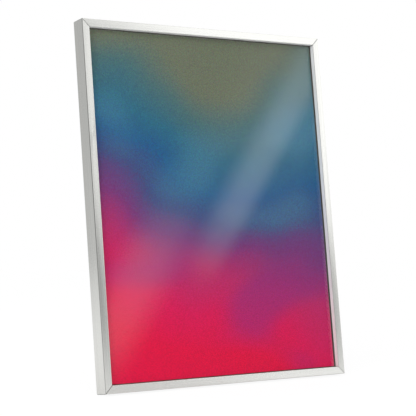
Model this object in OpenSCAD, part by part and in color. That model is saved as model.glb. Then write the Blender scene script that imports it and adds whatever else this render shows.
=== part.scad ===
// Free-standing poster frame. Four mitred aluminium rails hold a stack of
// glazing, print, card and back panel, which goes in from behind and is kept
// there by turn clips. The frame leans back on a hinged strut, and two keyhole
// hangers let it hang on a wall instead.
//
// Each piece is drawn in the frame's own axes: X to the right, Y from the
// front face to the back, Z up from the bottom edge. leaned() then tips it.

/* [Print and stack] */
// Width of the print, the glazing and the boards behind it
print_w = 400; // [300:1:600]
// Height of the print, the glazing and the boards behind it
print_h = 500; // [450:1:800]
// Thickness of the glazing
glazing_t = 2; // [1:0.1:3]
// Thickness of the print
paper_t = 0.3; // [0.2:0.05:0.6]
// Thickness of the card behind the print
card_t = 1.5; // [0.5:0.1:2.5]
// Thickness of the back panel
panel_t = 3; // [2.5:0.1:4]

/* [Rails] */
// Width of the front face
face_w = 11; // [9:0.5:16]
// Wall thickness of the rails
wall_t = 1.4; // [1:0.1:1.6]
// Depth of the inner lip, from the front face to the glazing
lip_d = 7; // [5:0.1:8]
// Width of the rear channel, measured from the outer side
channel_w = 5.2; // [4.8:0.1:7]
// Depth of the rear channel inside, from its front wall to its back wall
channel_d = 6.1; // [5.6:0.1:14]
// Length of the hooks that narrow the mouth of the channel
hook_l = 1.2; // [0.8:0.1:1.6]
// Thickness of the hooks
hook_t = 1.2; // [0.8:0.1:1.4]
// Gap between the channel and the edge of the stack
stack_gap = 0.8; // [0.3:0.1:1.5]
// Width of the joint line at each mitre
mitre_gap = 0.5; // [0.1:0.1:1]

/* [Corner keys] */
// Length of each arm of a corner key
key_arm = 36; // [25:1:60]
// Thickness of a corner key
key_t = 2; // [1.5:0.1:2.2]
// Clearance between a corner key and the walls of the channel
key_gap = 0.15; // [0.05:0.05:0.3]
// Distance from the corner to each grub screw
key_screw_at = 24; // [14:1:24]
// Radius of the grub screws
key_screw_r = 1.5; // [1:0.1:1.6]
// Length of the grub screws
key_screw_l = 3.2; // [2.5:0.1:4]

/* [Turn clips] */
// Distance from the middle of the frame to each clip at the top and bottom
clip_x = 115; // [60:1:140]
// Distance from the middle of the frame to each clip at the sides
clip_z = 155; // [100:1:200]
// Distance from the outer side of the frame to the pivot of a clip
clip_pivot_u = 17; // [14:0.5:22]
// Distance from the outer side of the frame to the tip of a clip
clip_tip_u = 2.6; // [2.2:0.1:3.5]
// Width of a clip
clip_w = 9; // [7:0.5:12]
// Thickness of a clip
clip_t = 0.8; // [0.6:0.1:1]
// Length of a clip's tail behind its pivot
clip_tail = 8; // [6:0.5:10]
// Height of the finger lip at the end of the tail
clip_lip_h = 3; // [2:0.5:4]
// Gap between a clip and the back panel
clip_gap = 0.2; // [0.1:0.05:0.4]
// Gap between a clip and the channel that it reaches behind
clip_play = 0.3; // [0.2:0.05:0.5]

/* [Rivets] */
// Radius of a rivet's shank
rivet_r = 1.5; // [1:0.1:2]
// Radius of a rivet's heads
rivet_head_r = 3; // [2.5:0.1:4]
// Thickness of a rivet's heads
rivet_head_t = 0.8; // [0.5:0.1:1.2]
// Radial clearance of a pin or a rivet in its hole
pin_gap = 0.05; // [0.02:0.01:0.1]
// Gap under the head of a rivet that a clip turns on
head_gap = 0.1; // [0.05:0.05:0.2]

/* [Strut] */
// Angle at which the frame leans back
lean_angle = 7.45; // [6:0.05:12]
// Angle between the open strut and the frame
strut_angle = 13; // [12:0.5:20]
// Height of the strut's hinge above the frame's bottom edge
hinge_z = 335; // [250:1:400]
// Width of the strut below its hinge
strut_top_w = 46; // [34:1:60]
// Width of the strut at its foot
strut_foot_w = 74; // [60:1:120]
// Thickness of the strut
strut_t = 4; // [3:0.5:6]
// Distance from the hinge to the top end of the strut
strut_start = 6; // [4.5:0.5:10]
// Height of the rubber shoe on the strut's foot
shoe_h = 14; // [8:1:25]
// Wall thickness of the shoe
shoe_wall = 1.5; // [1:0.1:2.5]
// Thickness of the shoe under the strut
shoe_floor = 2.5; // [1.5:0.1:4]

/* [Hinge] */
// Thickness of the hinge's sheet steel
leaf_t = 1.2; // [0.8:0.1:1.6]
// Width of the hinge plate on the back panel
plate_w = 58; // [50:1:80]
// Height of the hinge plate above the hinge
plate_up = 30; // [20:1:40]
// Height of the hinge plate below the hinge
plate_down = 12; // [10:1:20]
// Outer radius of the knuckle round the pin
knuckle_r = 2.8; // [2.4:0.1:3.6]
// Width of the knuckle between the ears
knuckle_w = 27; // [20:1:34]
// Gap between the knuckle and what is beside and behind it
knuckle_gap = 0.4; // [0.3:0.05:0.6]
// Thickness of the ears that hold the pin
ear_t = 1.6; // [1.2:0.1:2.5]
// Radius of the rounded end of an ear
ear_r = 4; // [3.5:0.1:5]
// Radius of the hinge pin
pin_r = 1.5; // [1:0.1:1.8]
// Thickness of the heads of the hinge pin
pin_head_t = 0.8; // [0.5:0.1:1.5]
// Radius of the heads of the hinge pin
pin_head_r = 2.4; // [2:0.1:3]
// Width of the strut's own hinge leaf
leaf_w = 24; // [18:1:26]
// Length of the strut's hinge leaf below the hinge
leaf_l = 42; // [34:1:60]
// Gap between the open strut's stop and the hinge plate
stop_gap = 0.1; // [0.05:0.05:0.3]

/* [Hangers] */
// Distance from the middle of the frame to each hanger
hanger_x = 110; // [60:1:140]
// Distance from the top of the frame down to the hanging hole
hanger_drop = 72; // [50:1:120]
// Width of the raised bridge of a hanger
bridge_w = 24; // [20:1:34]
// Height of a hanger from end to end, measured up the frame
hanger_h = 26; // [24:1:36]
// Width of each foot of a hanger
hanger_foot = 10; // [8:1:16]
// Thickness of a hanger
hanger_t = 1; // [0.8:0.1:1.5]
// Space for a screw's head between a hanger's bridge and the back panel
bridge_space = 2.6; // [2:0.1:4]
// Radius of the hanging hole that a screw's head goes through
keyhole_r = 4.5; // [4:0.1:6]
// Width of the slot that a screw's shank slides up into
keyslot_w = 4.5; // [3.5:0.1:5]
// Length of the slot above the middle of the hole
keyslot_l = 11; // [8:0.5:14]

/* [Hidden] */
$fn = 48;
// How far cuts run past the solids that they cut
over = 1;
// A length larger than the whole object
reach = 4 * print_h;

// Places along Y, from the front face to the back
panel_front = lip_d + glazing_t + paper_t + card_t;
panel_back = panel_front + panel_t;
web_y = panel_back + clip_gap + clip_t + clip_play;
channel_front = web_y + wall_t;
channel_back = channel_front + channel_d;
frame_d = channel_back + wall_t;
channel_mid = (channel_front + channel_back) / 2;
hinge_y = panel_back + leaf_t + knuckle_gap + knuckle_r;

// Overall size and the place of the stack in it
stack_edge = channel_w + stack_gap;
frame_w = print_w + 2 * stack_edge;
frame_h = print_h + 2 * stack_edge;

// The four sides: name, turn about Y, length, distance from the middle
SIDES = [
    ["bottom", 0, frame_w, frame_h / 2],
    ["left", 90, frame_h, frame_w / 2],
    ["top", 180, frame_w, frame_h / 2],
    ["right", 270, frame_h, frame_w / 2]
];
// The four corners: name, turn about Y, and which side of the middle they are
CORNERS = [
    ["bottom_left", 0, -1, -1],
    ["top_left", 90, -1, 1],
    ["top_right", 180, 1, 1],
    ["bottom_right", 270, 1, -1]
];
// The turn clips: name, index of the side, place along the side
CLIPS = [
    ["bottom_left", 0, -clip_x],
    ["bottom_right", 0, clip_x],
    ["left_high", 1, -clip_z],
    ["left_low", 1, clip_z],
    ["top_right", 2, -clip_x],
    ["top_left", 2, clip_x],
    ["right_low", 3, -clip_z],
    ["right_high", 3, clip_z]
];

// Rivets through the hinge plate, as places across and up the frame
plate_rivet_x = plate_w / 2 - rivet_head_r - leaf_t;
plate_rivets = [
    for (side = [-1, 1], z = [-plate_down + rivet_head_r + leaf_t, plate_up - rivet_head_r - leaf_t])
        [side * plate_rivet_x, hinge_z + z]
];
// Rivets through the feet of the hangers
hanger_z = frame_h - hanger_drop;
hanger_pitch = bridge_w + hanger_foot;
hanger_rivets = [
    for (side = [-1, 1], foot = [-1, 1]) [side * hanger_x + foot * hanger_pitch / 2, hanger_z]
];
// Rivets through the strut's leaf, as distances below the hinge
leaf_rivet_first = strut_start + rivet_head_r + leaf_t;
leaf_rivet_last = leaf_l - rivet_head_r - leaf_t;
leaf_rivets = [leaf_rivet_first, (leaf_rivet_first + leaf_rivet_last) / 2, leaf_rivet_last];

// The strut in its own axes: hinge at the origin, foot down, Y to the back
strut_front = leaf_t / 2;
strut_back = strut_front + strut_t;
shoe_front = strut_front - shoe_wall;
shoe_back = strut_back + shoe_wall;
// The strut's angle from plumb, and the distance from the hinge to the floor
// along a line of the strut that lies y behind the hinge
strut_plumb = strut_angle - lean_angle;
function to_floor(y) = (hinge_z * cos(lean_angle) + (frame_d - hinge_y) * sin(lean_angle)
    + y * sin(strut_plumb)) / cos(strut_plumb);
strut_end = to_floor(strut_front) - shoe_floor;
// The tail of the strut's leaf is as long as reaches the hinge plate when open
tail_l = (knuckle_gap + knuckle_r - strut_front * cos(strut_angle) - stop_gap) / sin(strut_angle);

// The whole object's depth on the floor, for an origin at its middle
foot_plumb_y = hinge_y * cos(lean_angle) + hinge_z * sin(lean_angle);
foot_back = foot_plumb_y + shoe_back * cos(strut_plumb) + to_floor(shoe_back) * sin(strut_plumb);
top_back = frame_d * cos(lean_angle) + frame_h * sin(lean_angle);
base_d = max(foot_back, top_back);

// Tips the frame back and stands it on its lower back edge
module leaned() {
    translate([0, -base_d / 2, frame_d * sin(lean_angle)])
        rotate([-lean_angle, 0, 0])
            children();
}

// Carries a piece drawn along X, with Z pointing into the frame, to one side
module on_side(side) {
    translate([0, 0, frame_h / 2])
        rotate([0, side[1], 0])
            translate([0, 0, -side[3]])
                children();
}

// Carries a piece drawn at a lower left corner to one of the corners
module on_corner(corner) {
    translate([corner[2] * frame_w / 2, 0, frame_h / 2 + corner[3] * frame_h / 2])
        rotate([0, corner[1], 0])
            children();
}

// Places a piece drawn in the strut's own axes at the strut's open angle
module on_strut() {
    translate([0, hinge_y, hinge_z])
        rotate([strut_angle, 0, 0])
            children();
}

// A round bar along Y from y0 to y1
module bar_y(r, y0, y1) {
    translate([0, y1, 0])
        rotate([90, 0, 0])
            cylinder(r = r, h = y1 - y0);
}

// A round bar along X, centred
module bar_x(r, w) {
    rotate([0, 90, 0])
        cylinder(r = r, h = w, center = true);
}

// A flat outline in X and Z, raised along Y from y0 to y1
module slab_y(y0, y1) {
    translate([0, y1, 0])
        rotate([90, 0, 0])
            linear_extrude(y1 - y0)
                children();
}

// Rail section: Y of the frame across, distance from the outer side up
module rail_section() {
    polygon([
        [0, 0],
        [frame_d, 0],
        [frame_d, channel_w],
        [channel_back - hook_l, channel_w],
        [channel_back - hook_l, channel_w - hook_t],
        [channel_back, channel_w - hook_t],
        [channel_back, wall_t],
        [channel_front, wall_t],
        [channel_front, channel_w - hook_t],
        [channel_front + hook_l, channel_w - hook_t],
        [channel_front + hook_l, channel_w],
        [web_y, channel_w],
        [web_y, wall_t],
        [wall_t, wall_t],
        [wall_t, face_w - wall_t],
        [lip_d, face_w - wall_t],
        [lip_d, face_w],
        [0, face_w]
    ]);
}

// One rail, mitred at both ends with half of the joint line taken off each
module rail(side) {
    half = side[2] / 2 - mitre_gap / sqrt(2);
    color("silver")
        leaned()
            on_side(side)
                intersection() {
                    rotate([90, 0, 90])
                        linear_extrude(side[2], center = true)
                            rail_section();
                    slab_y(-over, frame_d + over)
                        polygon([
                            [-half - over, -over],
                            [half + over, -over],
                            [half - face_w - over, face_w + over],
                            [-half + face_w + over, face_w + over]
                        ]);
                }
}

// Angle strip that joins two rails inside their channels
module corner_key(corner) {
    near = wall_t + key_gap;
    far = near + key_t;
    color("dimgray")
        leaned()
            on_corner(corner)
                difference() {
                    slab_y(channel_front + key_gap, channel_back - key_gap)
                        polygon([
                            [near, near],
                            [key_arm, near],
                            [key_arm, far],
                            [far, far],
                            [far, key_arm],
                            [near, key_arm]
                        ]);
                    key_screw_places()
                        cylinder(r = key_screw_r + pin_gap, h = key_screw_l + 2 * over);
                }
}

// The two grub screws of a key, drawn along Z from the rail's outer wall
module key_screw_places() {
    translate([key_screw_at, channel_mid, wall_t])
        children();
    translate([wall_t, channel_mid, key_screw_at])
        rotate([0, 90, 0])
            children();
}

// Grub screw with a hexagon socket, standing on the outer wall of the rail
module grub_screw() {
    socket_r = key_screw_r / 2;
    difference() {
        cylinder(r = key_screw_r, h = key_screw_l);
        translate([0, 0, key_screw_l / 2])
            cylinder(r = socket_r, h = key_screw_l, $fn = 6);
    }
}

module grub_screws() {
    color("black")
        leaned()
            for (corner = CORNERS)
                on_corner(corner)
                    key_screw_places()
                        grub_screw();
}

// One full-size sheet of the stack between two depths
module stack_sheet(y0, y1) {
    translate([-print_w / 2, y0, stack_edge])
        cube([print_w, y1 - y0, print_h]);
}

module glazing() {
    color([0.85, 0.9, 0.92, 0.3])
        leaned()
            stack_sheet(lip_d, lip_d + glazing_t);
}

module print_sheet() {
    color("mediumpurple")
        leaned()
            stack_sheet(lip_d + glazing_t, lip_d + glazing_t + paper_t);
}

module backing_card() {
    color("lightgray")
        leaned()
            stack_sheet(panel_front - card_t, panel_front);
}

// Rivet through the back panel and a piece of the given thickness behind it,
// with its front head let into the panel
module panel_rivet(held) {
    bar_y(rivet_head_r, panel_front, panel_front + rivet_head_t);
    bar_y(rivet_r, panel_front, panel_back + held);
    bar_y(rivet_head_r, panel_back + held, panel_back + held + rivet_head_t);
}

// The hole that a panel rivet goes through, with the recess for its head
module panel_rivet_hole() {
    bar_y(rivet_r + pin_gap, panel_front - over, panel_back + over);
    bar_y(rivet_head_r + pin_gap, panel_front - over, panel_front + rivet_head_t);
}

// Repeats a piece at each listed place across and up the frame
module at_each(places) {
    for (place = places)
        translate([place[0], 0, place[1]])
            children();
}

// Repeats a piece at the pivot of each turn clip
module at_each_clip() {
    for (clip = CLIPS)
        on_side(SIDES[clip[1]])
            translate([clip[2], 0, clip_pivot_u])
                children();
}

module back_panel() {
    color("saddlebrown")
        leaned()
            difference() {
                stack_sheet(panel_front, panel_back);
                at_each_clip()
                    panel_rivet_hole();
                at_each(concat(plate_rivets, hanger_rivets))
                    panel_rivet_hole();
            }
}

// Turn clip, pointing out of the frame so that its tip is behind the channel
module turn_clip(clip) {
    y0 = panel_back + clip_gap;
    y1 = y0 + clip_t;
    nose_z = clip_tip_u + clip_w / 2 - clip_pivot_u;
    color("gainsboro")
        leaned()
            on_side(SIDES[clip[1]])
                translate([clip[2], 0, clip_pivot_u])
                    difference() {
                        union() {
                            translate([0, 0, nose_z])
                                bar_y(clip_w / 2, y0, y1);
                            translate([-clip_w / 2, y0, nose_z])
                                cube([clip_w, clip_t, clip_tail - nose_z]);
                            translate([-clip_w / 2, y0, clip_tail - clip_t])
                                cube([clip_w, clip_lip_h, clip_t]);
                        }
                        bar_y(rivet_r + pin_gap, y0 - over, y1 + over);
                    }
}

module clip_rivets() {
    color("gray")
        leaned()
            at_each_clip()
                panel_rivet(clip_gap + clip_t + head_gap);
}

// Plate on the back panel with two ears that hold the hinge pin
module hinge_plate() {
    ear_x = knuckle_w / 2 + knuckle_gap;
    color("gainsboro")
        leaned()
            translate([0, 0, hinge_z])
                difference() {
                    union() {
                        translate([-plate_w / 2, panel_back, -plate_down])
                            cube([plate_w, leaf_t, plate_up + plate_down]);
                        for (side = [-1, 1])
                            translate([side * (ear_x + ear_t / 2), hinge_y, 0]) {
                                bar_x(ear_r, ear_t);
                                translate([-ear_t / 2, panel_back - hinge_y, -ear_r])
                                    cube([ear_t, hinge_y - panel_back, 2 * ear_r]);
                            }
                    }
                    translate([0, hinge_y, 0])
                        bar_x(pin_r + pin_gap, plate_w);
                    translate([0, 0, -hinge_z])
                        at_each(plate_rivets)
                            bar_y(rivet_r + pin_gap, panel_back - over, panel_back + leaf_t + over);
                }
}

module plate_rivets() {
    color("gray")
        leaned()
            at_each(plate_rivets)
                panel_rivet(leaf_t);
}

module hinge_pin() {
    pin_w = knuckle_w + 2 * (knuckle_gap + ear_t);
    color("gray")
        leaned()
            translate([0, hinge_y, hinge_z]) {
                bar_x(pin_r, pin_w + pin_head_t);
                for (side = [-1, 1])
                    translate([side * (pin_w + pin_head_t) / 2, 0, 0])
                        bar_x(pin_head_r, pin_head_t);
            }
}

// Leaf curled round the pin, with a tail that stops the strut when it is open
module strut_leaf() {
    color("gainsboro")
        leaned()
            on_strut()
                difference() {
                    union() {
                        bar_x(knuckle_r, knuckle_w);
                        translate([-leaf_w / 2, -leaf_t / 2, -leaf_l])
                            cube([leaf_w, leaf_t, leaf_l + tail_l]);
                    }
                    bar_x(pin_r + pin_gap, knuckle_w + 2 * over);
                    for (s = leaf_rivets)
                        translate([0, 0, -s])
                            bar_y(rivet_r + pin_gap, -leaf_t, leaf_t);
                }
}

// The strut's board, wider at its foot
module strut_board() {
    slab_y(strut_front, strut_back)
        polygon([
            [-strut_top_w / 2, -strut_start],
            [strut_top_w / 2, -strut_start],
            [strut_foot_w / 2, -strut_end],
            [-strut_foot_w / 2, -strut_end]
        ]);
}

module strut() {
    color("saddlebrown")
        leaned()
            on_strut()
                difference() {
                    strut_board();
                    for (s = leaf_rivets)
                        translate([0, 0, -s])
                            bar_y(rivet_r + pin_gap, strut_front - over, strut_back + over);
                }
}

module strut_rivets() {
    color("gray")
        leaned()
            on_strut()
                for (s = leaf_rivets)
                    translate([0, 0, -s]) {
                        bar_y(rivet_head_r, -leaf_t / 2 - rivet_head_t, -leaf_t / 2);
                        bar_y(rivet_r, -leaf_t / 2 - rivet_head_t, strut_back + rivet_head_t);
                        bar_y(rivet_head_r, strut_back, strut_back + rivet_head_t);
                    }
}

// Rubber shoe on the strut's foot, cut level with the floor
module strut_shoe() {
    shoe_w = strut_foot_w + 2 * shoe_wall;
    color("dimgray")
        difference() {
            leaned()
                on_strut()
                    difference() {
                        translate([-shoe_w / 2, shoe_front, -strut_end - shoe_floor - over])
                            cube([shoe_w, shoe_back - shoe_front, shoe_h + over]);
                        strut_board();
                    }
            translate([-reach / 2, -reach / 2, -reach])
                cube(reach);
        }
}

// Hanger with two feet and a raised bridge, which has the keyhole in it
module hanger(side) {
    foot_y = panel_back;
    bridge_y = panel_back + bridge_space;
    color("gainsboro")
        leaned()
            translate([side * hanger_x, 0, hanger_z])
                difference() {
                    union() {
                        for (foot = [-1, 1]) {
                            translate([foot * hanger_pitch / 2 - hanger_foot / 2, foot_y, -hanger_h / 2])
                                cube([hanger_foot, hanger_t, hanger_h]);
                            translate([foot * (bridge_w - hanger_t) / 2 - hanger_t / 2, foot_y, -hanger_h / 2])
                                cube([hanger_t, bridge_space + hanger_t, hanger_h]);
                        }
                        translate([-bridge_w / 2, bridge_y, -hanger_h / 2])
                            cube([bridge_w, hanger_t, hanger_h]);
                    }
                    translate([0, 0, -keyslot_l / 3]) {
                        bar_y(keyhole_r, bridge_y - over, bridge_y + hanger_t + over);
                        translate([0, 0, keyslot_l])
                            bar_y(keyslot_w / 2, bridge_y - over, bridge_y + hanger_t + over);
                        translate([-keyslot_w / 2, bridge_y - over, 0])
                            cube([keyslot_w, hanger_t + 2 * over, keyslot_l]);
                    }
                    for (foot = [-1, 1])
                        translate([foot * hanger_pitch / 2, 0, 0])
                            bar_y(rivet_r + pin_gap, foot_y - over, foot_y + hanger_t + over);
                }
}

module hanger_rivets() {
    color("gray")
        leaned()
            at_each(hanger_rivets)
                panel_rivet(hanger_t);
}

for (side = SIDES)
    rail(side);
for (corner = CORNERS)
    corner_key(corner);
grub_screws();
glazing();
print_sheet();
backing_card();
back_panel();
for (clip = CLIPS)
    turn_clip(clip);
clip_rivets();
hinge_plate();
plate_rivets();
hinge_pin();
strut_leaf();
strut_rivets();
strut();
strut_shoe();
hanger(-1);  // hanger_left
hanger(1);  // hanger_right
hanger_rivets();
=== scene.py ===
"""Poster frame of mitred satin aluminium, leaning on its strut.

The solids of the frame are loaded first. The rails, glazing, turn clips, rivets, hinge, strut,
hangers and corner keys are then made again with the edges, bends, heads and grooves that the
solids leave out, and every piece gets a finish. Pieces are drawn in millimetres in the frame's
own axes: X to the right, Y from the front face to the back, Z up from the bottom edge.
"""

import math

import bmesh
import bpy
from mathutils import Matrix, Vector


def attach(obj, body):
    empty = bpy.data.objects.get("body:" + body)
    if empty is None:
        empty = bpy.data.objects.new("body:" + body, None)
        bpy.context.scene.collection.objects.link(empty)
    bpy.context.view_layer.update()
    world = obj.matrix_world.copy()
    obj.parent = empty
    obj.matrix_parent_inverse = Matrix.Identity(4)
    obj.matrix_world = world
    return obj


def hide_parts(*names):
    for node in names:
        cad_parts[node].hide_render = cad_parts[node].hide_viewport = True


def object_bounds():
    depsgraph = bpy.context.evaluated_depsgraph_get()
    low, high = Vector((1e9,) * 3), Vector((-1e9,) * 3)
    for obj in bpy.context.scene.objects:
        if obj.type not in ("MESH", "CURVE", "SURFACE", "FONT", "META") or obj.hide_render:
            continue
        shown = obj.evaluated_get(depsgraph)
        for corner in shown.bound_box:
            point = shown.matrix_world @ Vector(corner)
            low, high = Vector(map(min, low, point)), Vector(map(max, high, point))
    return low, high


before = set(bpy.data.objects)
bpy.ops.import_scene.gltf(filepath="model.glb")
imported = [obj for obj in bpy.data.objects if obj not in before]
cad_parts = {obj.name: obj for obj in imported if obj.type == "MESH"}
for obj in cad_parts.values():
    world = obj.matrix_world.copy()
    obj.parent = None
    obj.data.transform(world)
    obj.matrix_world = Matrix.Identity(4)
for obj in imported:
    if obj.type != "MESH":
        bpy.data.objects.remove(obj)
cad_low, cad_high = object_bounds()

MM_PER_M = 1000

# Outside of the frame
FRAME_W = 412.0
FRAME_H = 512.0
FRAME_D = 24.0
LEAN = math.radians(7.45)

# Rail section
WALL = 1.4
FACE_W = 11.0
LIP_D = 7.0
CHANNEL_W = 5.2
CHANNEL_FRONT = 16.5
CHANNEL_BACK = 22.6
HOOK = 1.2
MITRE_GAP = 0.5
MITRE_BREAK = 0.25

# Radii of the edges of a rail, the least that is left of one, and the steps of each
OUTER_ARRIS = 1.0
INNER_ARRIS = 0.6
BACK_ARRIS = 0.5
SMALL_ARRIS = 0.15
LEAST_ARRIS = 0.02
ARRIS_STEPS = 4

# Stack behind the lip
STACK_W = 400.0
STACK_H = 500.0
GLASS_FRONT = 7.04
GLASS_BACK = 8.94
PANEL_FRONT = 10.8
PANEL_BACK = 13.8

# Turn clips
CLIP_X = 115.0
CLIP_Z = 155.0
CLIP_PIVOT = 17.0
CLIP_TIP = 2.6
CLIP_W = 9.0
CLIP_T = 0.8
CLIP_GAP = 0.2
CLIP_TAIL = 8.0
CLIP_LIP_H = 3.0
CLIP_BEND = 1.1
CLIP_TAPER = 0.86
NOSE_START = 6
NOSE_STEPS = 8
BEND_STEPS = 6

# Rivets
RIVET_R = 1.5
HEAD_R = 3.0
HEAD_T = 0.8
HEAD_GAP = 0.1
HEAD_SIDES = 28
HEAD_RINGS = 9
# How much of a head's square height is lost at its edge, the depth of its pit and how far the
# shank goes into the heads as shares of its height, and the pit's wall as shares of its radius
DOME_FALL = 0.86
PIT_DEPTH = 0.8
SHANK_INTO = 0.2
PIT_RIM = 0.44
PIT_FLOOR = 0.36

# Hinge and strut
LEAF_T = 1.2
LEAF_L = 42.0
PLATE_W = 58.0
PLATE_UP = 30.0
PLATE_DOWN = 12.0
PLATE_CORNER_R = 3.5
HINGE_Y = 18.2
HINGE_Z = 335.0
STRUT_ANGLE = math.radians(13)
STRUT_T = 4.0
STRUT_START = 6.0
SHOULDER_R = 6.0
FOOT_CORNER_R = 0.1
GROOVES = 4
GROOVE_R = 0.7
GROOVE_DEPTH = 0.55
GROOVE_FIRST = 3.4
GROOVE_PITCH = 2.7
GROOVE_SIDES = 20
ROD_SPARE = 1.0

# Hangers
HANGER_X = 110.0
HANGER_DROP = 72.0
HANGER_Z = FRAME_H - HANGER_DROP
HANGER_T = 1.0
HANGER_PITCH = 34.0
HANGER_W = 44.0
HANGER_H = 26.0
HANGER_CORNER_R = 3.0

# How far a die stays inside the edge that it cuts, and how near a point is to be on an edge
DIE_PLAY = 0.05
TOUCH = 0.1

# Widths of the broken edges of each piece
GLASS_EDGE = 0.3
CLIP_EDGE = 0.14
SHEET_EDGE = 0.2
HANGER_EDGE = 0.22
PIN_EDGE = 0.25
BOARD_EDGE = 0.35
SHOE_EDGE = 0.3

# Angles in degrees: a bend that is broken, a bend that stays sharp, and a flat that is one face
BROKEN_BEND = 35
SHARP_BEND = 40
FLAT_BEND = 1
# Points of a solid that lie this close together, in metres, are one
WELD = 2e-6

# The sides of the frame: turn about Y and half of the frame across that side
SIDES = {
    "bottom": (0, FRAME_W, FRAME_H / 2),
    "left": (90, FRAME_H, FRAME_W / 2),
    "top": (180, FRAME_W, FRAME_H / 2),
    "right": (270, FRAME_H, FRAME_W / 2),
}
# The turn clips: side, and place along it
CLIPS = {
    "bottom_left": ("bottom", -CLIP_X),
    "bottom_right": ("bottom", CLIP_X),
    "left_high": ("left", -CLIP_Z),
    "left_low": ("left", CLIP_Z),
    "top_right": ("top", -CLIP_X),
    "top_left": ("top", CLIP_X),
    "right_low": ("right", -CLIP_Z),
    "right_high": ("right", CLIP_Z),
}

# From a drawing in millimetres to the place of the leaning frame and of its strut
LEANED = (
    Matrix.Translation((0, cad_low.y, FRAME_D / MM_PER_M * math.sin(LEAN)))
    @ Matrix.Rotation(-LEAN, 4, "X")
    @ Matrix.Scale(1 / MM_PER_M, 4)
)
ON_STRUT = (
    LEANED
    @ Matrix.Translation((0, HINGE_Y, HINGE_Z))
    @ Matrix.Rotation(STRUT_ANGLE, 4, "X")
)
# Turn about X of the patterns on the frame and on its strut
FRAME_TURN = -LEAN
STRUT_TURN = STRUT_ANGLE - LEAN


def on_side(side):
    """Where a piece goes that is drawn along X, with Z pointing into the frame."""
    turn, _, half = SIDES[side]
    return (
        Matrix.Translation((0, 0, FRAME_H / 2))
        @ Matrix.Rotation(math.radians(turn), 4, "Y")
        @ Matrix.Translation((0, 0, -half))
    )


# Node trees


class Signal:
    """The output of a node. Sums on it are written as plain Python."""

    def __init__(self, board, socket):
        self.board, self.socket = board, socket

    def reckon(self, operation, *values):
        inputs = dict(enumerate(values))
        return self.board.node("ShaderNodeMath", {"operation": operation}, inputs)

    def __add__(self, other):
        return self.reckon("ADD", self, other)

    def __sub__(self, other):
        return self.reckon("SUBTRACT", self, other)

    def __rsub__(self, other):
        return self.reckon("SUBTRACT", other, self)

    def __mul__(self, other):
        return self.reckon("MULTIPLY", self, other)

    def __truediv__(self, other):
        return self.reckon("DIVIDE", self, other)

    def __pow__(self, other):
        return self.reckon("POWER", self, other)

    def __gt__(self, other):
        return self.reckon("GREATER_THAN", self, other)

    def __abs__(self):
        return self.reckon("ABSOLUTE", self)

    __radd__ = __add__
    __rmul__ = __mul__

    def sine(self):
        return self.reckon("SINE", self)

    def root(self):
        return self.reckon("SQRT", self)

    def least(self, other):
        return self.reckon("MINIMUM", self, other)

    def most(self, other):
        return self.reckon("MAXIMUM", self, other)


class Board:
    """A node tree that is written from Python."""

    def __init__(self, tree):
        self.tree = tree

    def node(self, kind, settings=None, inputs=None, output=0):
        """Adds a node: its settings first, then the values or signals of its sockets."""
        made = self.tree.nodes.new(kind)
        for name, value in (settings or {}).items():
            if name == "stops":
                fill_ramp(made.color_ramp, value)
            else:
                setattr(made, name, value)
        for name, value in (inputs or {}).items():
            if isinstance(value, Signal):
                self.tree.links.new(value.socket, made.inputs[name])
            else:
                made.inputs[name].default_value = value
        return Signal(self, made.outputs[output]) if made.outputs else made

    def step(self, value, low, high):
        """0 at low, 1 at high, and smooth between them. Low may lie above high."""
        return self.node(
            "ShaderNodeMapRange",
            {"interpolation_type": "SMOOTHSTEP"},
            {"Value": value, "From Min": low, "From Max": high},
        )

    def mix(self, share, first, second, blend="MIX"):
        settings = {"data_type": "RGBA", "blend_type": blend}
        return self.node("ShaderNodeMix", settings, {0: share, 6: first, 7: second}, 2)

    def noise(self, place, detail=2.0, roughness=0.5, output=0):
        inputs = {"Vector": place, "Scale": 1.0, "Detail": detail, "Roughness": roughness}
        return self.node("ShaderNodeTexNoise", {}, inputs, output)

    def ramp(self, value, stops):
        return self.node("ShaderNodeValToRGB", {"stops": stops}, {"Fac": value})

    def tones(self, value, pair, low=0.3, high=0.7):
        """The first colour of a pair below low, the second above high, and blends between."""
        return self.ramp(value, [(low, pair[0]), (high, pair[1])])

    def xyz(self, vector):
        return [self.node("ShaderNodeSeparateXYZ", {}, {0: vector}, i) for i in range(3)]


def fill_ramp(ramp, stops):
    """Gives a colour ramp its stops, each a position and a colour."""
    while len(ramp.elements) < len(stops):
        ramp.elements.new(1.0)
    for element, (position, colour) in zip(ramp.elements, stops):
        element.position = position
        element.color = colour


def rgb(red, green, blue):
    """A colour as it is seen on a screen, 0 to 255, in the linear form that shaders take."""
    return (*(linear(level / 255) for level in (red, green, blue)), 1.0)


def linear(level):
    return level / 12.92 if level <= 0.04045 else ((level + 0.055) / 1.055) ** 2.4


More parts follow.
